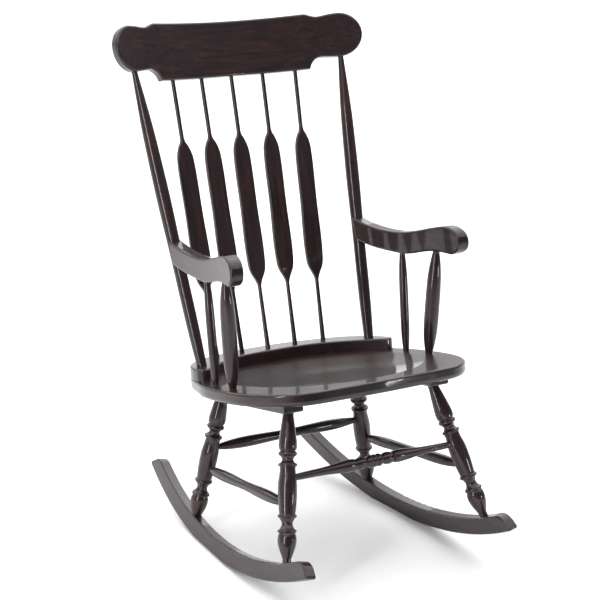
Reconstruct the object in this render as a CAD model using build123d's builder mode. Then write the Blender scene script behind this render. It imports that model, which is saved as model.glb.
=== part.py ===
from build123d import *
import os
from math import asin, atan, cos, hypot, pi, radians, sin, sqrt, tan

# Arrow-back rocking chair, in millimetres.
# +Z up, the sitter faces -Y, the chair is symmetric about X = 0. "left" is the -X side.
# It is drawn with its posts and seat as dimensioned below, then leant back by REST_TILT and
# set down on Z = 0, where it rests, with the origin under the middle of its bounding box.

# ---------------------------------------------------------------- driving dimensions
GLUE = 0.05                  # gap round every tenon and screw, the glue line
BLIND = 0.3                  # clearance at the bottom of a blind socket
REST_TILT = 4.0              # degrees the drawn chair leans back when it stands

SEAT_SLOPE = 0.146           # fall of the seat towards the back, mm per mm
SEAT_LEVEL = 393.5           # height of the seat's rim plane above the origin
SEAT_THICK = 28.0
SEAT_TOP_ROUND = 5.0
SEAT_UNDER_ROUND = 11.0
SEAT_HALF_WIDTH = 290.0
SEAT_FRONT = -293.0
SEAT_BACK = 245.0
DISH_DEPTH = 12.0
DISH_CENTRE_Y = -45.0
DISH_HALF_X = 232.0
DISH_HALF_Y = 205.0
POMMEL_HALF = 110.0          # half width of the low ridge between the thighs
POMMEL_SHARE = 0.35          # how much of the dish's depth the ridge takes back

RAIL_THICK = 27.0            # bent rail glued and screwed on the back of the seat
RAIL_ROUND = 4.0

CLEAT_THICK = 22.0
CLEAT_WIDTH = 48.0
CLEAT_X = 189.5
CLEAT_FRONT = -216.0
CLEAT_BACK = 140.0
CLEAT_ROUND = 4.0

LEG_TENON_R = 12.0
LEG_TENON = 34.0             # through the cleat and into the seat
FOOT_TENON_R = 9.3
LEG_FRONT_BEAD = Vector(207.7, -225.7, 291.2)    # centre of the leg's upper bead
LEG_FRONT_RUN = Vector(0.2415, -0.364, -1.0)     # way down the leg
LEG_FRONT_START = -8.6       # cleat's underside, from the turning's datum
LEG_FRONT_FOOT = 327.0       # end of the foot tenon, from the turning's datum
LEG_REAR_BEAD = Vector(194.1, 101.1, 260.0)
LEG_REAR_RUN = Vector(0.198, 0.102, -1.0)
LEG_REAR_START = 7.2
LEG_REAR_FOOT = 319.0
BEAD_AT = 78.5               # distance of the upper bead below the turning's datum

ROCKER_THICK = 25.0
ROCKER_DEPTH = 40.5
ROCKER_RADIUS = 825.0        # underside, in the plane of the board
ROCKER_MIDDLE_Y = -33.0
ROCKER_FRONT_REACH = 371.0
ROCKER_BACK_REACH = 406.0
ROCKER_FLAT_HALF = 74.0      # half length of the flat it rests on, planed off the arc
ROCKER_TOE = 0.065
ROCKER_LEAN = 0.204
ROCKER_OUTER_X = 268.4       # outer face at the lower edge
ROCKER_NOSE = 32.0           # rounding of the upper corners of its two ends
ROCKER_TIP = 5.0
ROCKER_ROUND = 4.0

STRETCHER_FRONT_Z = 242.6
STRETCHER_REAR_Z = 208.6
STRETCHER_SIDE_FRONT_Z = 193.3
STRETCHER_SIDE_REAR_Z = 162.5
STRETCHER_TENON_R = 7.0
STRETCHER_TENON = 5.5        # how far a tenon passes the leg's axis
STRETCHER_FREE = 23.0        # where the turning leaves the leg, from the leg's axis
STRETCHER_THICK_R = 10.2

POST_FOOT = Vector(224.7, 106.3, 405.2)          # where the post leaves the bent rail
POST_HEAD = Vector(274.0, 304.8, 1040.0)         # where it meets the crest rail
POST_TENON_R = 11.4
POST_TENON = 46.0
POST_HEAD_R = 6.6
POST_HEAD_TENON = 38.0

SPINDLE_HEAD_Y = 351.2
SPINDLE_STEP_TOP = 81.7
SPINDLE_STEP_FOOT = 72.0
SPINDLE_FOOT_Y = 189.8
SPINDLE_FOOT_SAG = 3.4       # forward shift of a foot, times the spindle's number squared
SPINDLE_R = 4.9
SPINDLE_FOOT_R = 5.6
SPINDLE_HEAD_R = 4.8
SPINDLE_TENON = 14.0
PADDLE_THICK = 10.6
PADDLE_HALF = 22.0
PADDLE_TIP = 130.0           # from the head to where the paddle begins
PADDLE_END = 495.0           # from the head to where it ends
PADDLE_ROUND = 2.5

CREST_LEVEL = 1010.0
CREST_MID_Y = 353.6          # middle of the rail's thickness at X = 0 and CREST_LEVEL
CREST_LEAN = 0.305           # fall back per mm of height
CREST_RADIUS = 720.0
CREST_THICK = 24.0
CREST_ROUND = 4.5
CREST_HALF_WIDTH = 325.0

ARM_THICK = 32.0
ARM_PLAN_X = 261.4           # arm's centre line in plan at Y = 0
ARM_PLAN_SLOPE = -0.1409
ARM_PLAN_RADIUS = 2058.0
ARM_BACK_TOP = 677.0
ARM_BACK_BOTTOM = 628.0
ARM_NOSE_Y = -166.0
ARM_WRAP = 4.0               # arm's rear end stops this far in front of the post's axis
ARM_ROUND = 5.0
ARM_HOLLOW_R = 14.7          # hollow in the arm's rear end, round the post
ARM_SCREW_Z = 648.0
ARM_POST_FOOT = Vector(257.8, -86.4, 406.1)
ARM_POST_HEAD = Vector(274.1, -86.1, 643.0)
ARM_SPINDLE_FOOT = Vector(253.0, -5.5, 394.3)
ARM_SPINDLE_HEAD = Vector(257.1, 21.1, 620.5)
ARM_TENON = 14.0
ARM_POST_TENON_R = 8.0
ARM_SPINDLE_TENON_R = 6.6

SCREW_R = 2.2
SCREW_HEAD_R = 4.4
SCREW_HEAD = 3.0
SCREW_POINT = 6.0
SCREW_TIP_R = 0.3
PLUG_R = 4.9
PLUG_RIM = 4.8
PLUG_DOME = 2.0
PIN_R = 2.5
PIN_BACK = 15.2              # from the post's axis to the pin's end, flush with the rail's back
PIN_FRONT = 5.5
SINK = 9.0                   # depth of a rocker screw's head below the foot tenon

seat_tilt = atan(SEAT_SLOPE)
seat_plane = Plane(
    origin=(0, 0, SEAT_LEVEL), x_dir=(1, 0, 0), z_dir=(0, sin(seat_tilt), cos(seat_tilt))
)
seat_up = Axis((0, 0, 0), seat_plane.z_dir)


# ---------------------------------------------------------------- helpers
def turning_plane(start, end):
    """Plane whose local Y runs from start to end, for the half outline of a turned piece."""
    along = (end - start).normalized()
    radial = along.cross(Vector(0, 1, 0.01)).normalized()
    return Plane(origin=start, x_dir=radial, z_dir=radial.cross(along))


def turn(outline, start, end):
    """Solid of revolution of a half outline about the line from start to end."""
    with BuildPart() as turned:
        with BuildSketch(turning_plane(start, end)):
            add(outline)
            make_face()
        revolve(axis=Axis(start, end - start))
    return turned.part


def bore(start, end, radius):
    """Solid cylinder from start to end, the cutter for a socket or a clearance hole."""
    length = (end - start).length
    upright = Cylinder(radius, length, align=(Align.CENTER, Align.CENTER, Align.MIN))
    return Plane(origin=start, z_dir=end - start) * upright


def screw(head, tip, gap=0.0):
    """Countersunk wood screw from its head's face to its tip; a gap makes it the hole's cutter."""
    length = (tip - head).length
    with BuildLine() as outline:
        Polyline(
            (0, -gap),
            (SCREW_HEAD_R + gap, -gap),
            (SCREW_R + gap, SCREW_HEAD),
            (SCREW_R + gap, length - SCREW_POINT),
            (SCREW_TIP_R + gap, length + gap),
            (0, length + gap),
            close=True,
        )
    return turn(outline.line, head, tip)


def both(solids):
    """The given right-hand solids and their mirror images on the left."""
    return solids + [mirror(solid, about=Plane.YZ) for solid in solids]


def keep(piece, name):
    """Keep a finished piece, as drawn, under its name."""
    pieces[name] = piece


def keep_pair(piece, name):
    """Keep a right-hand piece and its mirror image."""
    keep(piece, f"{name}_right")
    keep(mirror(piece, about=Plane.YZ), f"{name}_left")


def keep_group(solids, name):
    """Keep several equal fasteners as the separate solids of one piece."""
    keep(Compound(solids), name)


# ---------------------------------------------------------------- axes shared by several pieces
def on_seat(x, y, height=0.0):
    """Point at (x, y) in the seat's rim plane, raised square to that plane."""
    return seat_plane.from_local_coords(Vector(x, y, height))


def along_leg(bead, run, distance):
    """Point on a leg's axis at a distance below the turning's datum."""
    return bead + run.normalized() * (distance - BEAD_AT)


def leg_at(bead, run, z):
    """Point on a leg's axis at the height z."""
    return bead + run * (bead.Z - z)


def left_of(point):
    """Mirror image of a right-hand point."""
    return Vector(-point.X, point.Y, point.Z)


def spindle_ends(number):
    """Foot on the bent rail and head at the crest rail of spindle -2 to 2."""
    head_x = number * SPINDLE_STEP_TOP
    sag = CREST_RADIUS - sqrt(CREST_RADIUS**2 - head_x**2)
    foot_y = SPINDLE_FOOT_Y - SPINDLE_FOOT_SAG * number**2
    foot = on_seat(number * SPINDLE_STEP_FOOT, foot_y, RAIL_THICK)
    return foot, Vector(head_x, SPINDLE_HEAD_Y - sag, CREST_LEVEL + 1.5)


def post_at(z):
    """Point on the right-hand post's axis at the height z."""
    return POST_FOOT + (POST_HEAD - POST_FOOT) * ((z - POST_FOOT.Z) / (POST_HEAD.Z - POST_FOOT.Z))


LEGS = {
    "front": (LEG_FRONT_BEAD, LEG_FRONT_RUN, LEG_FRONT_START, LEG_FRONT_FOOT),
    "rear": (LEG_REAR_BEAD, LEG_REAR_RUN, LEG_REAR_START, LEG_REAR_FOOT),
}
front_joint = leg_at(LEG_FRONT_BEAD, LEG_FRONT_RUN, STRETCHER_FRONT_Z)
rear_joint = leg_at(LEG_REAR_BEAD, LEG_REAR_RUN, STRETCHER_REAR_Z)
side_front_joint = leg_at(LEG_FRONT_BEAD, LEG_FRONT_RUN, STRETCHER_SIDE_FRONT_Z)
side_rear_joint = leg_at(LEG_REAR_BEAD, LEG_REAR_RUN, STRETCHER_SIDE_REAR_Z)
spindle_numbers = range(-2, 3)
post_way = (POST_HEAD - POST_FOOT).normalized()
arm_uprights = {
    "arm_post": (ARM_POST_FOOT, ARM_POST_HEAD, ARM_POST_TENON_R, 10.6, 16.6),
    "arm_spindle": (ARM_SPINDLE_FOOT, ARM_SPINDLE_HEAD, ARM_SPINDLE_TENON_R, 7.8, 10.2),
}

pieces = {}


# ---------------------------------------------------------------- fasteners
def rocker_screw(place, gap=0.0):
    """Screw up through the rocker into a leg's foot."""
    bead, run, _, foot_at = LEGS[place]
    return screw(along_leg(bead, run, foot_at + SINK), along_leg(bead, run, foot_at - 24), gap)


def cleat_screw(y, gap=0.0):
    """Screw through a cleat into the seat."""
    head = on_seat(CLEAT_X, y, -SEAT_THICK - CLEAT_THICK)
    return screw(head, on_seat(CLEAT_X, y, -13.0), gap)


def rail_screw(x, y, gap=0.0):
    """Screw through the seat into the bent rail."""
    return screw(on_seat(x, y, -SEAT_THICK), on_seat(x, y, 17.0), gap)


CLEAT_SCREW_Y = (-130.0, -40.0, 50.0)
RAIL_SCREW_XY = ((36.0, 197.0), (108.0, 184.0), (240.0, 86.0))
arm_screw_head = post_at(ARM_SCREW_Z) + Vector(0, 9.5, 0)
arm_screw_tip = post_at(ARM_SCREW_Z) + Vector(1.5, -44, 0)
arm_screw_way = (arm_screw_head - arm_screw_tip).normalized()
crest_tilt = atan(CREST_LEAN)
pin_angle = asin(POST_HEAD.X / CREST_RADIUS)
pin_way = Vector(sin(pin_angle), cos(pin_angle) * cos(crest_tilt), -cos(pin_angle) * sin(crest_tilt))
pin_middle = POST_HEAD + post_way * 22


def crest_pin(gap=0.0):
    """Wooden pin that locks a post's tenon from the back of the crest rail."""
    front_end = pin_middle - pin_way * (PIN_FRONT + gap)
    return bore(front_end, pin_middle + pin_way * PIN_BACK, PIN_R + gap)


def plug():
    """Wooden plug with a low dome over an arm's screw."""
    top = PLUG_RIM + PLUG_DOME
    ball = (PLUG_R**2 + PLUG_DOME**2) / (2 * PLUG_DOME)
    half_way = top - ball + sqrt(ball**2 - PLUG_R**2 / 4)
    with BuildLine() as outline:
        Polyline((0, top), (0, 0), (PLUG_R, 0), (PLUG_R, PLUG_RIM))
        ThreePointArc((PLUG_R, PLUG_RIM), (PLUG_R / 2, half_way), (0, top))
    foot = arm_screw_head + arm_screw_way * 0.1
    return turn(outline.line, foot, foot + arm_screw_way)


keep_group(both([rocker_screw("front"), rocker_screw("rear")]), "rocker_screws")
keep_group(both([cleat_screw(y) for y in CLEAT_SCREW_Y]), "cleat_screws")
keep_group(both([rail_screw(x, y) for x, y in RAIL_SCREW_XY]), "back_rail_screws")
keep_group(both([screw(arm_screw_head, arm_screw_tip)]), "arm_screws")
keep_group(both([plug()]), "arm_screw_plugs")
keep_group(both([crest_pin()]), "crest_pins")


# ---------------------------------------------------------------- stretchers
def plain_outline(length):
    """Half outline of a plain stretcher, swelling gently between its tenons."""
    tip = -STRETCHER_TENON
    free = STRETCHER_FREE
    with BuildLine() as line:
        Polyline((0, tip), (STRETCHER_TENON_R, tip), (STRETCHER_TENON_R, free))
        Spline(
            (STRETCHER_TENON_R, free),
            (8.2, free + 7),
            (STRETCHER_THICK_R, length / 2),
            (8.2, length - free - 7),
            (STRETCHER_TENON_R, length - free),
        )
        Polyline(
            (STRETCHER_TENON_R, length - free),
            (STRETCHER_TENON_R, length - tip),
            (0, length - tip),
            (0, tip),
        )
    return line.line


def fancy_outline(length):
    """Half outline of the front stretcher: rings and balls between two long vases."""
    middle = length / 2
    tip = -STRETCHER_TENON
    free = middle - STRETCHER_FREE
    with BuildLine() as line:
        Line((0, tip), (0, length - tip))
        for side in (-1, 1):
            end = middle + side * (middle - tip)
            Polyline(
                (0, end), (STRETCHER_TENON_R, end), (STRETCHER_TENON_R, middle + side * free)
            )
            Spline(
                (STRETCHER_TENON_R, middle + side * free),
                (7.8, middle + side * 165),
                (8.3, middle + side * 140),
                (9.4, middle + side * 118),
                (11.6, middle + side * 94),
                (13.8, middle + side * 66),
                (12.6, middle + side * 50.5),
            )
            Line((12.6, middle + side * 50.5), (9.4, middle + side * 48.5))
            ThreePointArc(
                (9.4, middle + side * 48.5), (13.6, middle + side * 34.5), (9.4, middle + side * 20.5)
            )
            Line((9.4, middle + side * 20.5), (11.2, middle + side * 17.1))
        for place in (-11.4, 0, 11.4):
            ThreePointArc(
                (11.2, middle + place - 5.7), (13.8, middle + place), (11.2, middle + place + 5.7)
            )
    return line.line


span = 2 * front_joint.X
keep(turn(fancy_outline(span), left_of(front_joint), front_joint), "stretcher_front")
span = 2 * rear_joint.X
keep(turn(plain_outline(span), left_of(rear_joint), rear_joint), "stretcher_rear")
span = (side_rear_joint - side_front_joint).length
keep_pair(turn(plain_outline(span), side_front_joint, side_rear_joint), "stretcher")


def stretcher_hole(joint, beyond):
    """Cutter for the blind hole in a leg that takes a stretcher's tenon."""
    way = (beyond - joint).normalized()
    deep = joint - way * (STRETCHER_TENON + BLIND)
    return bore(deep, joint + way * 40, STRETCHER_TENON_R + GLUE)


# ---------------------------------------------------------------- legs
def leg_outline(start_at, foot_at, gap=0.0):
    """Half outline of the turned leg: radius against the distance below the datum."""
    top = start_at - LEG_TENON
    foot_r = FOOT_TENON_R + gap
    end = foot_at + gap
    with BuildLine() as line:
        Polyline((0, top), (LEG_TENON_R, top), (LEG_TENON_R, start_at + 7))
        Spline((LEG_TENON_R, start_at + 7), (15.6, 24), (17.9, 41), (19.6, 61), (18.6, 70))
        ThreePointArc((18.6, 70), (16.4, 72), (17.2, 74.5))
        ThreePointArc((17.2, 74.5), (20.0, BEAD_AT), (17.4, 82.5))
        Spline((17.4, 82.5), (13.4, 87), (12.2, 91), (13.6, 95), (17.0, 98.5))
        ThreePointArc((17.0, 98.5), (20.3, 102), (17.0, 105.5))
        Spline((17.0, 105.5), (17.1, 118), (19.4, 135), (20.3, 156), (19.5, 177), (16.8, 205))
        ThreePointArc((16.8, 205), (20.1, 209), (16.8, 213))
        Spline((16.8, 213), (13.2, 219), (11.7, 225), (13.3, 231), (16.8, 236.5))
        ThreePointArc((16.8, 236.5), (20.0, 240.3), (16.8, 244))
        Spline(
            (16.8, 244),
            (19.9 + gap, 257),
            (18.3 + gap, 271),
            (15.4 + gap, 281),
            (11.6 + gap, 291),
            (foot_r, 298),
        )
        Polyline((foot_r, 298), (foot_r, end), (0, end), (0, top))
    return line.line


leg_holes = {
    "front": [
        stretcher_hole(front_joint, left_of(front_joint)),
        stretcher_hole(side_front_joint, side_rear_joint),
        rocker_screw("front", GLUE),
    ],
    "rear": [
        stretcher_hole(rear_joint, left_of(rear_joint)),
        stretcher_hole(side_rear_joint, side_front_joint),
        rocker_screw("rear", GLUE),
    ],
}
leg_sockets = []
for place, (bead, run, start_at, foot_at) in LEGS.items():
    datum = along_leg(bead, run, 0)
    leg = turn(leg_outline(start_at, foot_at), datum, bead)
    keep_pair(leg - leg_holes[place], f"leg_{place}")
    socket_end = along_leg(bead, run, start_at - LEG_TENON - BLIND)
    leg_sockets.append(bore(socket_end, along_leg(bead, run, start_at + 30), LEG_TENON_R + GLUE))


# ---------------------------------------------------------------- rockers
def make_rocker():
    """Right-hand rocker: a board sawn to two concentric arcs, leaning with the legs."""
    outward = Vector(1, ROCKER_TOE, ROCKER_LEAN).normalized()
    board_plane = Plane(
        origin=(ROCKER_OUTER_X, ROCKER_MIDDLE_Y, 0),
        x_dir=(-ROCKER_TOE, 1, 0),
        z_dir=outward,
    )
    inner = ROCKER_RADIUS - ROCKER_DEPTH
    front = asin(ROCKER_FRONT_REACH / ROCKER_RADIUS)
    back = asin(ROCKER_BACK_REACH / ROCKER_RADIUS)
    resting = atan(tan(radians(REST_TILT)) / outward.cross(Vector(-ROCKER_TOE, 1, 0).normalized()).Z)
    flat = asin(ROCKER_FLAT_HALF / ROCKER_RADIUS)

    def at(radius, angle):
        return (radius * sin(angle), ROCKER_RADIUS - radius * cos(angle))

    cutters = []
    for place, (bead, run, start_at, foot_at) in LEGS.items():
        cutters.append(turn(leg_outline(start_at, foot_at, GLUE), along_leg(bead, run, 0), bead))
        cutters.append(rocker_screw(place, GLUE))
        mouth = along_leg(bead, run, foot_at + SINK)
        cutters.append(bore(mouth, along_leg(bead, run, foot_at + 40), SCREW_HEAD_R + 0.6))
    with BuildPart() as rocker:
        with BuildSketch(board_plane) as board:
            with BuildLine():
                for start, end in ((-front, resting - flat), (resting + flat, back)):
                    middle = (start + end) / 2
                    ThreePointArc(
                        at(ROCKER_RADIUS, start), at(ROCKER_RADIUS, middle), at(ROCKER_RADIUS, end)
                    )
                Line(at(ROCKER_RADIUS, resting - flat), at(ROCKER_RADIUS, resting + flat))
                Line(at(ROCKER_RADIUS, back), at(inner, back - 0.035))
                ThreePointArc(at(inner, back - 0.035), at(inner, 0), at(inner, 0.02 - front))
                Line(at(inner, 0.02 - front), at(ROCKER_RADIUS, -front))
            make_face()
            upper_corners = board.vertices().filter_by(
                lambda corner: hypot(corner.X, ROCKER_RADIUS - corner.Y) < inner + 1
            )
            fillet(upper_corners, radius=ROCKER_NOSE)
            lower_corners = board.vertices().filter_by(
                lambda corner: hypot(corner.X, ROCKER_RADIUS - corner.Y) > ROCKER_RADIUS - 1
                and corner.Y > 50
            )
            fillet(lower_corners, radius=ROCKER_TIP)
        extrude(amount=-ROCKER_THICK)
        fillet(rocker.faces().filter_by(Axis((0, 0, 0), outward)).edges(), radius=ROCKER_ROUND)
        add(cutters, mode=Mode.SUBTRACT)
    return rocker.part


keep_pair(make_rocker(), "rocker")


# ---------------------------------------------------------------- posts of the back
def post_outline():
    """Half outline of a back post: thick in the middle, slim where it enters the crest rail."""
    length = (POST_HEAD - POST_FOOT).length
    with BuildLine() as line:
        Polyline((0, -POST_TENON), (POST_TENON_R, -POST_TENON), (POST_TENON_R, 7))
        Spline(
            (POST_TENON_R, 7),
            (13.2, 60),
            (14.1, 130),
            (14.4, 270),
            (15.7, 365),
            (14.9, 470),
            (13.7, 530),
            (10.4, 600),
            (POST_HEAD_R, length - 3),
        )
        Polyline(
            (POST_HEAD_R, length - 3),
            (POST_HEAD_R, length + POST_HEAD_TENON),
            (0, length + POST_HEAD_TENON),
            (0, -POST_TENON),
        )
    return line.line


plug_recess = bore(arm_screw_head, arm_screw_head + arm_screw_way * 20, PLUG_R + GLUE)
post = turn(post_outline(), POST_FOOT, POST_HEAD)
post -= [screw(arm_screw_head, arm_screw_tip, GLUE), plug_recess, crest_pin(GLUE)]
keep_pair(post, "post")
post_socket = bore(
    POST_FOOT - post_way * (POST_TENON + BLIND), POST_FOOT + post_way * 30, POST_TENON_R + GLUE
)
post_head_socket = bore(
    POST_HEAD - post_way * 20, POST_HEAD + post_way * (POST_HEAD_TENON + BLIND), POST_HEAD_R + GLUE
)


# ---------------------------------------------------------------- spindles of the back
def rod_outline(length):
    """Half outline of a spindle's round rod."""
    with BuildLine() as line:
        Polyline((0, -SPINDLE_TENON), (SPINDLE_FOOT_R, -SPINDLE_TENON), (SPINDLE_FOOT_R, 4))
        Spline(
            (SPINDLE_FOOT_R, 4),
            (SPINDLE_R, 70),
            (SPINDLE_R, length - 70),
            (SPINDLE_HEAD_R, length - 3),
        )
        Polyline(
            (SPINDLE_HEAD_R, length - 3),
            (SPINDLE_HEAD_R, length + SPINDLE_TENON),
            (0, length + SPINDLE_TENON),
            (0, -SPINDLE_TENON),
        )
    return line.line


def make_spindle(number):
    """Arrow-back spindle: a round rod that opens into a flat paddle."""
    foot, head = spindle_ends(number)
    length = (head - foot).length
    along = (head - foot).normalized()
    sideways = (Vector(1, 0, 0) - along * along.X).normalized()
    face = Plane(origin=foot, x_dir=sideways, z_dir=sideways.cross(along))
    low = length - PADDLE_END
    high = length - PADDLE_TIP
    rod = turn(rod_outline(length), foot, head)
    with BuildPart() as spindle:
        with BuildSketch(face.offset(-PADDLE_THICK / 2)):
            with BuildLine():
                for side in (-1, 1):
                    Spline(
                        (side * 3.0, low),
                        (side * 8.5, low + 16),
                        (side * 17.5, low + 33),
                        (side * PADDLE_HALF, low + 58),
                        (side * (PADDLE_HALF - 0.8), (low + high) / 2),
                        (side * (PADDLE_HALF - 1.8), high - 58),
                        (side * 16.0, high - 33),
                        (side * 7.8, high - 15),
                        (side * 3.0, high),
                        tangents=[(side * 0.2, 1), (-side * 0.2, 1)],
                    )
                Line((-3, low), (3, low))
                Line((-3, high), (3, high))
            make_face()
        extrude(amount=PADDLE_THICK)
        long_edges = spindle.edges().filter_by(lambda edge: edge.length > PADDLE_END - PADDLE_TIP)
        fillet(long_edges, radius=PADDLE_ROUND)
        add(rod)
    return spindle.part


spindle_feet = []
spindle_heads = []
for number in spindle_numbers:
    foot, head = spindle_ends(number)
    way = (head - foot).normalized()
    reach = way * (SPINDLE_TENON + BLIND)
    spindle_feet.append(bore(foot - reach, foot + way * 12, SPINDLE_FOOT_R + GLUE))
    spindle_heads.append(bore(head - way * 12, head + reach, SPINDLE_HEAD_R + GLUE))
    keep(make_spindle(number), f"spindle_{number + 3}")


# ---------------------------------------------------------------- crest rail
def make_crest():
    """Crest rail: its outline sawn out of a board bent to a wide arc, with rounded ears."""
    board = Plane(
        origin=(0, CREST_MID_Y, CREST_LEVEL),
        x_dir=(1, 0, 0),
        z_dir=(0, sin(crest_tilt), cos(crest_tilt)),
    )
    face = Plane(origin=board.origin, x_dir=(1, 0, 0), z_dir=-board.y_dir)
    outer = CREST_RADIUS + CREST_THICK / 2
    inner = CREST_RADIUS - CREST_THICK / 2
    spread = 0.56
    cutters = spindle_heads + both([post_head_socket, crest_pin(GLUE)])

    def at(radius, angle):
        return (radius * sin(angle), radius * cos(angle) - CREST_RADIUS)

    with BuildPart() as crest:
        with BuildSketch(board.offset(-60)):
            with BuildLine():
                for radius in (outer, inner):
                    ThreePointArc(at(radius, -spread), at(radius, 0), at(radius, spread))
                for angle in (-spread, spread):
                    Line(at(inner, angle), at(outer, angle))
            make_face()
        extrude(amount=260)
        with BuildSketch(face.offset(-100)):
            with BuildLine() as half:
                Line((0, -3.5), (198, -6))
                ThreePointArc((198, -6), (209, 12), (228, 19.5))
                Line((228, 19.5), (266, 15))
                ThreePointArc((266, 15), (CREST_HALF_WIDTH, 63), (277, 118))
                Spline(
                    (277, 118),
                    (250, 117),
                    (228, 115.5),
                    (212, 120.5),
                    (198, 124.5),
                    tangents=[(-1, 0), (-1, 0)],
                )
                Line((198, 124.5), (0, 124))
                mirror(half.line, about=Plane.YZ)
            make_face()
        extrude(amount=350, mode=Mode.INTERSECT)
        broad = crest.faces().sort_by(SortBy.AREA)[-2:]
        fillet(broad.edges(), radius=CREST_ROUND)
        add(cutters, mode=Mode.SUBTRACT)
    return crest.part


keep(make_crest(), "crest_rail")


# ---------------------------------------------------------------- arms and what carries them
def upright_outline(length, tenon_r, thin, thick):
    """Half outline of a turned upright under the arm, thickest a little below mid height."""
    with BuildLine() as line:
        Polyline((0, -ARM_TENON), (tenon_r, -ARM_TENON), (tenon_r, 3))
        Spline(
            (tenon_r, 3), (thin, 14), (thick, length * 0.46), (thin, length - 18), (tenon_r, length - 5)
        )
        Polyline(
            (tenon_r, length - 5), (tenon_r, length + ARM_TENON), (0, length + ARM_TENON), (0, -ARM_TENON)
        )
    return line.line


upright_feet = []
upright_heads = []
for name, (foot, head, tenon_r, thin, thick) in arm_uprights.items():
    outline = upright_outline((head - foot).length, tenon_r, thin, thick)
    keep_pair(turn(outline, foot, head), name)
    way = (head - foot).normalized()
    reach = way * (ARM_TENON + BLIND)
    upright_feet.append(bore(foot - reach, foot + way * 30, tenon_r + GLUE))
    upright_heads.append(bore(head - way * 30, head + reach, tenon_r + GLUE))


def arm_x(y):
    """Middle of the arm's thickness in plan."""
    return ARM_PLAN_X + ARM_PLAN_SLOPE * y + y**2 / (2 * ARM_PLAN_RADIUS)


def make_arm():
    """Right-hand arm: its side profile cut from a board that curves outwards in plan."""
    hollow = bore(post_at(ARM_BACK_BOTTOM - 30), post_at(ARM_BACK_TOP + 30), ARM_HOLLOW_R)
    cutters = upright_heads + [hollow, screw(arm_screw_head, arm_screw_tip, GLUE)]
    half = ARM_THICK / 2
    front = ARM_NOSE_Y - 10
    back = post_at(ARM_BACK_TOP).Y + 10
    back_top = (post_at(ARM_BACK_TOP).Y - ARM_WRAP, ARM_BACK_TOP)
    back_bottom = (post_at(ARM_BACK_BOTTOM).Y - ARM_WRAP, ARM_BACK_BOTTOM)
    with BuildPart() as arm:
        with BuildSketch(Plane.XY.offset(600)):
            with BuildLine():
                for edge in (-half, half):
                    ThreePointArc(*[(arm_x(y) + edge, y) for y in (back, 0, front)])
                for y in (back, front):
                    Line((arm_x(y) - half, y), (arm_x(y) + half, y))
            make_face()
        extrude(amount=130)
        with BuildSketch(Plane.YZ.offset(200)):
            with BuildLine():
                Spline(
                    back_top,
                    (130, 669.5),
                    (77, 667.5),
                    (30, 670.0),
                    (-19, 678.5),
                    (-79, 696),
                    (-117, 705.0),
                )
                Spline(
                    (-117, 705.0),
                    (-140, 703.5),
                    (-158, 693),
                    (ARM_NOSE_Y, 675),
                    (-161, 656),
                    (-146, 646),
                    (-120, 645.0),
                    tangents=[(-1, 0.2), (1, 0.0)],
                )
                Spline(
                    (-120, 645.0),
                    (-88, 643.5),
                    (-52, 635.5),
                    (-10, 624.5),
                    (46, 620.5),
                    (110, 621),
                    back_bottom,
                )
                Line(back_bottom, back_top)
            make_face()
        extrude(amount=150, mode=Mode.INTERSECT)
        flanks = arm.faces().sort_by(SortBy.AREA)[-2:]
        fillet(flanks.edges(), radius=ARM_ROUND)
        add(cutters, mode=Mode.SUBTRACT)
    return arm.part


keep_pair(make_arm(), "arm")


# ---------------------------------------------------------------- seat, bent rail and cleats
def dish_depth(x, y):
    """Depth of the saddle below the rim plane; negative outside the dish."""
    across = x / DISH_HALF_X
    along = (y - DISH_CENTRE_Y) / DISH_HALF_Y
    swell = 0.5 + 0.5 * cos(pi * min(abs(x) / POMMEL_HALF, 1))
    return DISH_DEPTH * (1 - across**2 - along**2) * (1 - POMMEL_SHARE * swell * max(0.0, -along))


def dish_cutter():
    """Solid over the saddle's surface, which hollows the seat."""
    columns = [-300 + 30 * i for i in range(21)]
    rows = [[on_seat(x, y, -dish_depth(x, y)) for y in columns] for x in columns]
    surface = Face.make_surface_from_array_of_points(rows)
    return Solid.extrude(surface, seat_plane.z_dir * 60)


rail_screw_holes = both([rail_screw(x, y, GLUE) for x, y in RAIL_SCREW_XY])
cleat_screw_holes = [cleat_screw(y, GLUE) for y in CLEAT_SCREW_Y]
cutters = both(leg_sockets + [post_socket] + upright_feet + cleat_screw_holes)
cutters += rail_screw_holes + [dish_cutter()]
with BuildPart() as seat:
    with BuildSketch(seat_plane):
        with BuildLine() as half:
            Spline(
                (0, SEAT_FRONT),
                (120, SEAT_FRONT + 4),
                (202, SEAT_FRONT + 16),
                (246, SEAT_FRONT + 53),
                (272, -196),
                (SEAT_HALF_WIDTH - 2, -130),
                (SEAT_HALF_WIDTH, -65),
                (284, 0),
                (264, 68),
                (232, 146),
                (160, 214),
                (0, SEAT_BACK),
                tangents=[(1, 0), (-1, 0)],
            )
            mirror(half.line, about=Plane.YZ)
        make_face()
    extrude(amount=-SEAT_THICK)
    fillet(seat.edges().group_by(seat_up)[0], radius=SEAT_UNDER_ROUND)
    fillet(seat.edges().group_by(seat_up)[-1], radius=SEAT_TOP_ROUND)
    add(cutters, mode=Mode.SUBTRACT)
keep(seat.part, "seat")

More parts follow.
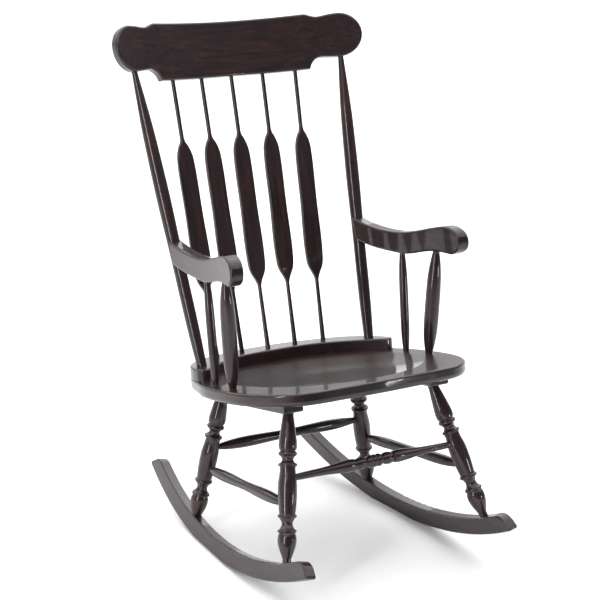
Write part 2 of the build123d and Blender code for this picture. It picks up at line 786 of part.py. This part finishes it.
cutters = both([post_socket]) + spindle_feet + rail_screw_holes
with BuildPart() as back_rail:
    with BuildSketch(seat_plane):
        with BuildLine() as half:
            Spline((0, 157), (108, 143), (161, 113), (206, 76), (238, 46), tangents=[(1, 0), (0.7, -0.71)])
            ThreePointArc((238, 46), (253, 50), (259, 68))
            Spline((259, 68), (243, 126), (188, 188), (95, 223), (0, 234), tangents=[(-0.05, 1), (-1, 0)])
            mirror(half.line, about=Plane.YZ)
        make_face()
    extrude(amount=RAIL_THICK)
    fillet(back_rail.edges().group_by(seat_up)[-1], radius=RAIL_ROUND)
    add(cutters, mode=Mode.SUBTRACT)
keep(back_rail.part, "seat_back_rail")

with BuildPart() as cleat:
    with BuildSketch(seat_plane.offset(-SEAT_THICK)):
        with Locations((CLEAT_X, (CLEAT_FRONT + CLEAT_BACK) / 2)):
            Rectangle(CLEAT_WIDTH, CLEAT_BACK - CLEAT_FRONT)
    extrude(amount=-CLEAT_THICK)
    fillet(cleat.edges().group_by(seat_up)[0], radius=CLEAT_ROUND)
    add(leg_sockets + cleat_screw_holes, mode=Mode.SUBTRACT)
keep_pair(cleat.part, "cleat")


# ---------------------------------------------------------------- setting the chair down
leaning = Rot(-REST_TILT, 0, 0)
low = (leaning * pieces["rocker_right"]).bounding_box().min
high = (leaning * pieces["crest_rail"]).bounding_box().max
standing = Pos(0, -(low.Y + high.Y) / 2, -low.Z) * leaning
os.makedirs("parts", exist_ok=True)
for name, piece in pieces.items():
    stood = standing * piece
    stood.label = name
    export_step(stood, f"parts/{name}.step")
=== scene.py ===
import math

import bpy
import numpy as np
from bpy.props import FloatProperty, FloatVectorProperty, PointerProperty
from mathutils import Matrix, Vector


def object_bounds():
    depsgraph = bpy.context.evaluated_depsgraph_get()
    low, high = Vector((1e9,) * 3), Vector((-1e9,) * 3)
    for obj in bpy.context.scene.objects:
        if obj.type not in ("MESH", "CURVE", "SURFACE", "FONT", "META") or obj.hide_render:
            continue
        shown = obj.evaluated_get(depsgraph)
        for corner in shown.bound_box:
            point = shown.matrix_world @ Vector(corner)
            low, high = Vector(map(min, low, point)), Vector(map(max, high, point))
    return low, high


bl_info = {
    "name": "Rocking Chair Finisher",
    "version": (1, 0, 0),
    "blender": (4, 5, 0),
    "location": "3D View > Sidebar > Rocking Chair",
    "description": "Stains and lacquers an arrow-back rocking chair and sets it in a plain studio",
    "category": "Object",
}

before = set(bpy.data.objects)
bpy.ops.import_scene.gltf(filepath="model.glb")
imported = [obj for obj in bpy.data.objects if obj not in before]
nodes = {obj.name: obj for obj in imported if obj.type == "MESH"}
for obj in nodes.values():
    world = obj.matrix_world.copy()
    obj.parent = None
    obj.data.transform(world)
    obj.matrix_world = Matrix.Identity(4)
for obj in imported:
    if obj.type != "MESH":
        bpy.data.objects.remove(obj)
cad_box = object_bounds()
chair_height = cad_box[1].z - cad_box[0].z
MM = 0.001

# The Mix node gives its colour sockets the same names as its others, so they go by number.
MIX_FACTOR = 0
MIX_UNDER = 6
MIX_OVER = 7
MIX_COLOUR = 2

# How far apart two pieces read the figure, in streaks: twice across the grain, once along it.
BLANK_STEP = (3.7, 1.9, 0.63)


# ---------------------------------------------------------------- colours
def linear(code):
    """Linear RGB of an sRGB colour written as a hex code."""
    channels = [int(code[i : i + 2], 16) / 255 for i in (1, 3, 5)]
    return [c / 12.92 if c <= 0.04045 else ((c + 0.055) / 1.055) ** 2.4 for c in channels]


def rgba(colour):
    """A colour with full alpha, as a colour socket takes it."""
    return (*colour, 1.0)


def shade(colour, factor):
    """A colour made lighter or darker by a factor."""
    return rgba([min(1.0, c * factor) for c in colour])


def colour_property(name, code, description):
    """A colour setting whose default is an sRGB hex code."""
    return FloatVectorProperty(
        name=name,
        description=description,
        subtype="COLOR",
        size=3,
        min=0.0,
        max=1.0,
        default=linear(code),
    )


def length_property(name, millimetres, description):
    """A length setting whose default is given in millimetres."""
    return FloatProperty(
        name=name,
        description=description,
        subtype="DISTANCE",
        unit="LENGTH",
        min=0.0,
        default=millimetres * MM,
    )


def angle_property(name, degrees, description):
    """An angle setting whose default is given in degrees."""
    return FloatProperty(
        name=name, description=description, subtype="ANGLE", default=math.radians(degrees)
    )


# ---------------------------------------------------------------- settings
class RubberwoodSettings(bpy.types.PropertyGroup):
    """Espresso stain and gloss lacquer on rubberwood."""

    stain: colour_property("Stain", "#271A1C", "Stained wood between the dark streaks")
    streak: colour_property("Streak", "#1B1215", "Darkest streaks of the figure, where stain collects")
    warm: colour_property("Warm wood", "#3D231F", "Red-brown of the palest streaks")
    worn: colour_property("Rubbed edge", "#4A2A25", "Wood tone that glows through on rubbed edges")
    end_grain: colour_property("End grain", "#0E0809", "Sawn ends, which drink the most stain")
    figure_width: length_property("Figure width", 9.0, "Width of one streak of the figure")
    figure_length: length_property("Figure length", 150.0, "Length of one streak of the figure")
    pore_width: length_property("Pore width", 1.1, "Width of a filled pore, drawn coarser than life")
    pore_length: length_property("Pore length", 14.0, "Length of a filled pore")
    pore_depth: length_property("Pore depth", 0.02, "Depth of a pore under the lacquer")
    mottle_size: length_property("Mottle size", 60.0, "Size of the uneven patches in the stain")
    ripple_size: length_property("Ripple size", 16.0, "Width of the ripples in the sprayed lacquer")
    ripple_height: length_property("Ripple height", 0.035, "Height of the ripples in the lacquer")
    rub_width: length_property("Rubbed width", 2.5, "Width of the rubbed band along an edge")
    stave_width: length_property("Stave width", 74.0, "Width of the boards glued up into the seat")
    roughness: FloatProperty(
        name="Wood roughness",
        description="Roughness of the stained wood under the lacquer",
        min=0.0,
        max=1.0,
        default=0.42,
    )
    film: FloatProperty(
        name="Lacquer film",
        description="Share of the light that a full gloss film would mirror; a thin film mirrors less",
        min=0.0,
        max=1.0,
        default=0.6,
    )
    gloss: FloatProperty(
        name="Lacquer roughness",
        description="Roughness of the lacquer; low is mirror-like",
        min=0.0,
        max=1.0,
        default=0.055,
    )


class HardwareSettings(bpy.types.PropertyGroup):
    """Wood screws."""

    zinc: colour_property("Zinc", "#B9B6A8", "Zinc plating on the steel screws")
    tarnish: colour_property("Tarnish", "#7C7868", "Dull patches in the plating")
    patch_size: length_property("Patch size", 2.5, "Size of the patches in the plating")


class StudioSettings(bpy.types.PropertyGroup):
    """Floor, surroundings, lights and camera."""

    floor: colour_property("Floor", "#F4F4F4", "Seamless paper under the chair")
    backdrop: colour_property("Backdrop", "#E6E6E6", "Light paper behind the chair")
    room: colour_property("Room", "#3C3C42", "Unlit part of the studio, in front of the chair")
    paper_tooth: length_property("Paper tooth", 40.0, "Size of the cloudy patches in the paper")
    floor_size: FloatProperty(
        name="Floor size", description="Side of the floor", unit="LENGTH", default=60.0
    )
    key_power: FloatProperty(
        name="Strip power", description="Power of the tall strip light", unit="POWER", default=60.0
    )
    top_power: FloatProperty(
        name="Top power", description="Power of the overhead light", unit="POWER", default=1400.0
    )
    low_power: FloatProperty(
        name="Low power", description="Power of the small low light", unit="POWER", default=9.0
    )
    lens: FloatProperty(
        name="Focal length", description="Camera focal length in millimetres", default=113.073
    )
    camera_place: FloatVectorProperty(
        name="Camera place",
        description="Where the camera stands",
        subtype="TRANSLATION",
        unit="LENGTH",
        default=(-2.202153, -3.333148, 1.794328),
    )
    camera_pitch: angle_property("Camera pitch", 72.623243, "Tilt up from straight down")
    camera_roll: angle_property("Camera roll", -2.145518, "Roll of the camera")
    camera_heading: angle_property("Camera heading", -32.395314, "Heading about the vertical")


# ---------------------------------------------------------------- shader helpers
def add_node(tree, kind, inputs=None, **settings):
    """Adds a node, sets its settings, then sets or links its inputs by name or number."""
    made = tree.nodes.new(kind)
    for name, value in settings.items():
        setattr(made, name, value)
    for name, value in (inputs or {}).items():
        if isinstance(value, bpy.types.NodeSocket):
            tree.links.new(value, made.inputs[name])
        else:
            made.inputs[name].default_value = value
    return made


def new_material(name):
    """An empty node material and its tree."""
    material = bpy.data.materials.new(name)
    material.use_nodes = True
    material.node_tree.nodes.clear()
    return material, material.node_tree


def lay_over(tree, under, over, value, low, high, cover=1.0):
    """One colour laid over another where a value rises from low to high, up to a cover of 0 to 1."""
    mask = add_node(
        tree,
        "ShaderNodeMapRange",
        {"Value": value, "From Min": low, "From Max": high, "To Max": cover},
        interpolation_type="SMOOTHSTEP",
    ).outputs["Result"]
    return add_node(
        tree,
        "ShaderNodeMix",
        {MIX_FACTOR: mask, MIX_UNDER: under, MIX_OVER: over},
        data_type="RGBA",
    ).outputs[MIX_COLOUR]


def grain_direction(node):
    """Unit vector along a piece's longest spread, the way its grain runs."""
    mesh = nodes[node].data
    points = np.empty(len(mesh.vertices) * 3, np.float32)
    mesh.vertices.foreach_get("co", points)
    points = points.reshape(-1, 3).astype(float)
    spread = np.cov((points - points.mean(axis=0)).T)
    direction = Vector(np.linalg.eigh(spread)[1][:, -1])
    return direction if direction[np.argmax(np.abs(direction))] > 0 else -direction


def along_grain(tree, direction, across, length, offset):
    """Coordinates whose unit is one streak: across the grain in X and Y, along it in Z."""
    place = add_node(tree, "ShaderNodeTexCoord").outputs["Object"]
    turn = Vector(direction).rotation_difference(Vector((0, 0, 1))).to_euler()
    turned = add_node(
        tree, "ShaderNodeMapping", {"Vector": place, "Rotation": turn}, vector_type="POINT"
    )
    return add_node(
        tree,
        "ShaderNodeMapping",
        {
            "Vector": turned.outputs["Vector"],
            "Location": offset,
            "Scale": (1 / across, 1 / across, 1 / length),
        },
    ).outputs["Vector"]


# ---------------------------------------------------------------- finishes
def board_tone(tree, place, stave_width):
    """A steady value from 0 to 1 for each of the boards that are glued up side by side along X."""
    across = add_node(tree, "ShaderNodeSeparateXYZ", {"Vector": place}).outputs["X"]
    boards = add_node(
        tree, "ShaderNodeMath", {0: across, 1: stave_width}, operation="DIVIDE"
    ).outputs[0]
    board = add_node(tree, "ShaderNodeMath", {0: boards}, operation="FLOOR").outputs[0]
    tone = add_node(tree, "ShaderNodeTexWhiteNoise", {"W": board}, noise_dimensions="1D")
    return tone.outputs["Value"]


def edge_rub(tree, rub_width, mottle):
    """How far an edge is rubbed through: more in some patches of the stain than in others."""
    rounded = add_node(tree, "ShaderNodeBevel", {"Radius": rub_width}, samples=4).outputs["Normal"]
    true = add_node(tree, "ShaderNodeNewGeometry").outputs["Normal"]
    agree = add_node(
        tree, "ShaderNodeVectorMath", {0: rounded, 1: true}, operation="DOT_PRODUCT"
    ).outputs["Value"]
    # Where the rounded-over normal leaves the true one there is an edge.
    edge = add_node(
        tree,
        "ShaderNodeMapRange",
        {"Value": agree, "From Min": 0.90, "From Max": 0.995, "To Min": 1.0, "To Max": 0.0},
        interpolation_type="SMOOTHSTEP",
    ).outputs["Result"]
    patches = add_node(
        tree,
        "ShaderNodeMapRange",
        {"Value": mottle, "From Min": 0.35, "From Max": 0.6, "To Min": 0.2, "To Max": 0.8},
        interpolation_type="SMOOTHSTEP",
    ).outputs["Result"]
    rub = add_node(tree, "ShaderNodeMath", {0: edge, 1: patches}, operation="MULTIPLY")
    return rub.outputs[0]


def end_facing(tree, normal, direction):
    """How squarely the surface faces along the grain: 1 on a sawn end, 0 along the side."""
    along = add_node(
        tree, "ShaderNodeVectorMath", {0: normal, 1: Vector(direction)}, operation="DOT_PRODUCT"
    ).outputs["Value"]
    return add_node(tree, "ShaderNodeMath", {0: along}, operation="ABSOLUTE").outputs[0]


def espresso_rubberwood(node, direction, staves=False):
    """Rubberwood, turned or sawn, sanded, stained espresso and sprayed with gloss lacquer.

    The stain hides most of the figure: the eye gets a near-black brown that turns red where light
    falls on it, faint long streaks, short filled pores and clear mirror-like highlights. Edges are
    rubbed a little paler, and sawn ends are the darkest.
    """
    look = bpy.context.scene.chair_rubberwood
    material, tree = new_material(f"espresso_lacquered_rubberwood_{node}")
    coordinates = add_node(tree, "ShaderNodeTexCoord")
    place = coordinates.outputs["Object"]
    # Each piece is cut from its own blank, so the figure is read from another place in it.
    order = sorted(nodes).index(node)
    offset = tuple(order * step for step in BLANK_STEP)

    grain = along_grain(tree, direction, look.figure_width, look.figure_length, offset)
    figure = add_node(
        tree,
        "ShaderNodeTexNoise",
        {"Vector": grain, "Scale": 1.0, "Detail": 4.0, "Roughness": 0.55, "Distortion": 0.6},
    ).outputs["Fac"]
    fibre = along_grain(tree, direction, look.pore_width, look.pore_length, offset)
    pores = add_node(
        tree, "ShaderNodeTexNoise", {"Vector": fibre, "Scale": 1.0, "Detail": 1.5, "Roughness": 0.5}
    ).outputs["Fac"]
    mottle = add_node(
        tree, "ShaderNodeTexNoise", {"Vector": place, "Scale": 1 / look.mottle_size, "Detail": 2.0}
    ).outputs["Fac"]

    # Dark streaks, then the stain between them, then the palest wood, then patches of more stain.
    colour = lay_over(tree, rgba(look.streak), rgba(look.stain), figure, 0.36, 0.52)
    colour = lay_over(tree, colour, rgba(look.warm), figure, 0.50, 0.74)
    colour = lay_over(tree, colour, shade(look.stain, 0.72), mottle, 0.3, 0.7, cover=0.45)
    if staves:
        tone = board_tone(tree, place, look.stave_width)
        colour = lay_over(tree, colour, shade(look.warm, 0.8), tone, 0.0, 1.0, cover=0.35)
    # The pores are stepped twice, which makes their borders crisp.
    pore = add_node(
        tree,
        "ShaderNodeMapRange",
        {"Value": pores, "From Min": 0.56, "From Max": 0.68},
        interpolation_type="SMOOTHSTEP",
    ).outputs["Result"]
    colour = lay_over(tree, colour, shade(look.streak, 0.6), pore, 0.0, 1.0, cover=0.6)
    rub = edge_rub(tree, look.rub_width, mottle)
    colour = add_node(
        tree,
        "ShaderNodeMix",
        {MIX_FACTOR: rub, MIX_UNDER: colour, MIX_OVER: rgba(look.worn)},
        data_type="RGBA",
    ).outputs[MIX_COLOUR]
    facing = end_facing(tree, coordinates.outputs["Normal"], direction)
    colour = lay_over(tree, colour, rgba(look.end_grain), facing, 0.80, 0.97, cover=0.8)

    # The film flows out in slow ripples, and the wood under it also has the hollows of its pores.
    ripple = add_node(
        tree, "ShaderNodeTexNoise", {"Vector": place, "Scale": 1 / look.ripple_size, "Detail": 1.0}
    ).outputs["Fac"]
    film_normal = add_node(
        tree, "ShaderNodeBump", {"Height": ripple, "Distance": look.ripple_height, "Strength": 0.5}
    ).outputs["Normal"]
    wood_normal = add_node(
        tree,
        "ShaderNodeBump",
        {"Height": pores, "Distance": look.pore_depth, "Strength": 0.4, "Normal": film_normal},
    ).outputs["Normal"]
    wood = add_node(
        tree,
        "ShaderNodeBsdfPrincipled",
        {
            "Base Color": colour,
            "Roughness": look.roughness,
            "IOR": 1.5,
            "Specular IOR Level": 0.2,
            "Normal": wood_normal,
            "Coat Weight": look.film,
            "Coat Roughness": look.gloss,
            "Coat IOR": 1.5,
            "Coat Normal": film_normal,
        },
    )
    add_node(tree, "ShaderNodeOutputMaterial", {"Surface": wood.outputs["BSDF"]})
    return material


def zinc_plated_steel():
    """Steel screws, rolled and zinc plated: a soft grey metal with dull patches."""
    look = bpy.context.scene.chair_hardware
    material, tree = new_material("zinc_plated_steel")
    place = add_node(tree, "ShaderNodeTexCoord").outputs["Object"]
    patches = add_node(
        tree, "ShaderNodeTexNoise", {"Vector": place, "Scale": 1 / look.patch_size, "Detail": 3.0}
    ).outputs["Fac"]
    roughness = add_node(
        tree,
        "ShaderNodeMapRange",
        {"Value": patches, "From Min": 0.3, "From Max": 0.7, "To Min": 0.28, "To Max": 0.5},
        interpolation_type="SMOOTHSTEP",
    ).outputs["Result"]
    colour = lay_over(tree, rgba(look.zinc), rgba(look.tarnish), patches, 0.4, 0.65)
    metal = add_node(
        tree,
        "ShaderNodeBsdfPrincipled",
        {"Base Color": colour, "Metallic": 1.0, "Roughness": roughness},
    )
    add_node(tree, "ShaderNodeOutputMaterial", {"Surface": metal.outputs["BSDF"]})
    return material


def put_on(node, material):
    """Gives a node this one material."""
    slots = nodes[node].data.materials
    slots.clear()
    slots.append(material)


def lacquer(names, direction=None, staves=False):
    """Stains and lacquers each of these nodes, with the grain along it unless told otherwise."""
    for node in names:
        if node not in nodes:
            raise RuntimeError(f"the chair has no piece named {node}")
        put_on(node, espresso_rubberwood(node, direction or grain_direction(node), staves))


def sides(name):
    """The left and right node of a mirrored pair."""
    return [f"{name}_left", f"{name}_right"]


# ---------------------------------------------------------------- operators for the chair
class ChairOperator(bpy.types.Operator):
    """What every step of the work on the chair has in common"""

    bl_options = {"REGISTER", "UNDO"}


class CHAIR_OT_finish_seat(ChairOperator):
    """Stain and lacquer the seat, its bent back rail and the two cleats under it"""

    bl_idname = "chair.finish_seat"
    bl_label = "Finish Seat"

    def execute(self, context):
        lacquer(["seat"], direction=(0, 1, 0), staves=True)
        lacquer(["seat_back_rail"], direction=(1, 0, 0))
        lacquer(sides("cleat"))
        return {"FINISHED"}


class CHAIR_OT_finish_legs(ChairOperator):
    """Stain and lacquer the four turned legs"""

    bl_idname = "chair.finish_legs"
    bl_label = "Finish Legs"

    def execute(self, context):
        lacquer(sides("leg_front") + sides("leg_rear"))
        return {"FINISHED"}


class CHAIR_OT_finish_stretchers(ChairOperator):
    """Stain and lacquer the four stretchers"""

    bl_idname = "chair.finish_stretchers"
    bl_label = "Finish Stretchers"

    def execute(self, context):
        lacquer(["stretcher_front", "stretcher_rear"] + sides("stretcher"))
        return {"FINISHED"}


class CHAIR_OT_finish_rockers(ChairOperator):
    """Stain and lacquer the two rockers"""

    bl_idname = "chair.finish_rockers"
    bl_label = "Finish Rockers"

    def execute(self, context):
        lacquer(sides("rocker"), direction=(0, 1, 0))
        return {"FINISHED"}


class CHAIR_OT_finish_back(ChairOperator):
    """Stain and lacquer the posts, the spindles and the crest rail"""

    bl_idname = "chair.finish_back"
    bl_label = "Finish Back"

    def execute(self, context):
        lacquer(sides("post") + sorted(name for name in nodes if name.startswith("spindle_")))
        lacquer(["crest_rail"], direction=(1, 0, 0))
        return {"FINISHED"}


class CHAIR_OT_finish_arms(ChairOperator):
    """Stain and lacquer the arms and the turned uprights under them"""

    bl_idname = "chair.finish_arms"
    bl_label = "Finish Arms"

    def execute(self, context):
        lacquer(sides("arm"), direction=(0, 1, 0))
        lacquer(sides("arm_post") + sides("arm_spindle"))
        return {"FINISHED"}


class CHAIR_OT_finish_hardware(ChairOperator):
    """Plate the screws, and stain the plugs and pins that hide or lock the joints"""

    bl_idname = "chair.finish_hardware"
    bl_label = "Finish Hardware"

    def execute(self, context):
        steel = zinc_plated_steel()
        for node in ("rocker_screws", "cleat_screws", "back_rail_screws", "arm_screws"):
            put_on(node, steel)
        lacquer(["arm_screw_plugs", "crest_pins"], direction=(0, 1, 0))
        return {"FINISHED"}


# ---------------------------------------------------------------- stage
def add_floor(studio):
    """Seamless paper: matt, nearly white, with a faint tooth."""
    half = studio.floor_size / 2
    mesh = bpy.data.meshes.new("studio_floor")
    corners = [(-half, -half, 0), (half, -half, 0), (half, half, 0), (-half, half, 0)]
    mesh.from_pydata(corners, [], [(0, 1, 2, 3)])
    floor = bpy.data.objects.new("studio_floor", mesh)
    bpy.context.scene.collection.objects.link(floor)
    material, tree = new_material("seamless_paper")
    place = add_node(tree, "ShaderNodeTexCoord").outputs["Object"]
    tooth = add_node(
        tree, "ShaderNodeTexNoise", {"Vector": place, "Scale": 1 / studio.paper_tooth, "Detail": 2.0}
    ).outputs["Fac"]
    darker = shade(studio.floor, 0.985)
    colour = add_node(
        tree,
        "ShaderNodeMix",
        {MIX_FACTOR: tooth, MIX_UNDER: darker, MIX_OVER: rgba(studio.floor)},
        data_type="RGBA",
    ).outputs[MIX_COLOUR]
    paper = add_node(
        tree,
        "ShaderNodeBsdfPrincipled",
        {"Base Color": colour, "Roughness": 0.9, "Specular IOR Level": 0.2},
    )
    add_node(tree, "ShaderNodeOutputMaterial", {"Surface": paper.outputs["BSDF"]})
    mesh.materials.append(material)


def add_softbox(name, place, target, size, power):
    """A rectangular area light, width by height, aimed at a point."""
    light = bpy.data.lights.new(name, "AREA")
    light.shape = "RECTANGLE"
    light.size = size[0]
    light.size_y = size[1]
    light.energy = power
    lamp = bpy.data.objects.new(name, light)
    lamp.location = place
    lamp.rotation_euler = (target - place).to_track_quat("-Z", "Y").to_euler()
    bpy.context.scene.collection.objects.link(lamp)


def around(azimuth, distance, height):
    """Point round the chair: azimuth 0 is in front of the sitter, positive to the chair's +X."""
    angle = math.radians(azimuth)
    return Vector((distance * math.sin(angle), -distance * math.cos(angle), height))


def add_surroundings(studio):
    """Light backdrop behind the chair that falls off to a darker room in front of it."""
    world = bpy.data.worlds.new("studio")
    bpy.context.scene.world = world
    world.use_nodes = True
    tree = world.node_tree
    tree.nodes.clear()
    way = add_node(tree, "ShaderNodeTexCoord").outputs["Generated"]
    parts = add_node(tree, "ShaderNodeSeparateXYZ", {"Vector": way})
    room = rgba(studio.room)
    colour = lay_over(tree, room, rgba(studio.backdrop), parts.outputs["Y"], -0.35, 0.45)
    light = add_node(tree, "ShaderNodeBackground", {"Color": colour, "Strength": 1.0})
    add_node(tree, "ShaderNodeOutputWorld", {"Surface": light.outputs["Background"]})


class CHAIR_OT_set_studio(ChairOperator):
    """Lay the floor, light the studio and place the camera"""

    bl_idname = "chair.set_studio"
    bl_label = "Set Studio"

    def execute(self, context):
        studio = context.scene.chair_studio
        add_floor(studio)
        add_surroundings(studio)

        # A tall narrow strip beside the sitter's right hand draws the long lines on the turnings.
        strip_place = around(-66, 3.2, 1.5)
        chair_middle = Vector((0, 0, chair_height / 2))
        add_softbox("strip_light", strip_place, chair_middle, (0.45, 2.4), studio.key_power)
        # A wide ceiling over the chair and the floor behind it lights both evenly.
        top_place = Vector((2.0, 4.0, 5.0))
        top_target = Vector((top_place.x, top_place.y, 0))
        add_softbox("top_light", top_place, top_target, (14.0, 16.0), studio.top_power)
        # A small low box on the other side catches the edge of the seat.
        low_place = around(33, 2.9, 0.62)
        seat_middle = Vector((0, 0.1, 0.45))
        add_softbox("low_light", low_place, seat_middle, (0.32, 0.3), studio.low_power)

        lens = bpy.data.cameras.new("camera")
        lens.lens = studio.lens
        lens.sensor_width = 36.0
        camera = bpy.data.objects.new("camera", lens)
        camera.location = studio.camera_place
        camera.rotation_euler = (studio.camera_pitch, studio.camera_roll, studio.camera_heading)
        context.scene.collection.objects.link(camera)
        context.scene.camera = camera
        context.scene.view_settings.view_transform = "Standard"
        return {"FINISHED"}


# ---------------------------------------------------------------- panel and registration
OPERATORS = (
    CHAIR_OT_finish_seat,
    CHAIR_OT_finish_legs,
    CHAIR_OT_finish_stretchers,
    CHAIR_OT_finish_rockers,
    CHAIR_OT_finish_back,
    CHAIR_OT_finish_arms,
    CHAIR_OT_finish_hardware,
    CHAIR_OT_set_studio,
)
SETTINGS = {
    "chair_rubberwood": RubberwoodSettings,
    "chair_hardware": HardwareSettings,
    "chair_studio": StudioSettings,
}


class CHAIR_PT_panel(bpy.types.Panel):
    """Finishes and studio for the rocking chair"""

    bl_idname = "CHAIR_PT_panel"
    bl_label = "Rocking Chair"
    bl_space_type = "VIEW_3D"
    bl_region_type = "UI"
    bl_category = "Rocking Chair"

    def draw(self, context):
        for operator in OPERATORS:
            self.layout.operator(operator.bl_idname)
        for name, group in SETTINGS.items():
            box = self.layout.box()
            for setting in group.__annotations__:
                box.prop(getattr(context.scene, name), setting)


def register():
    for name, group in SETTINGS.items():
        bpy.utils.register_class(group)
        setattr(bpy.types.Scene, name, PointerProperty(type=group))
    for operator in OPERATORS:
        bpy.utils.register_class(operator)
    bpy.utils.register_class(CHAIR_PT_panel)


def unregister():
    bpy.utils.unregister_class(CHAIR_PT_panel)
    for operator in reversed(OPERATORS):
        bpy.utils.unregister_class(operator)
    for name, group in SETTINGS.items():
        delattr(bpy.types.Scene, name)
        bpy.utils.unregister_class(group)


def main():
    """Registers the add-on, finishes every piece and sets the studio."""
    register()
    for operator in OPERATORS:
        group, action = operator.bl_idname.split(".")
        getattr(getattr(bpy.ops, group), action)()


if __name__ == "__main__":
    main()
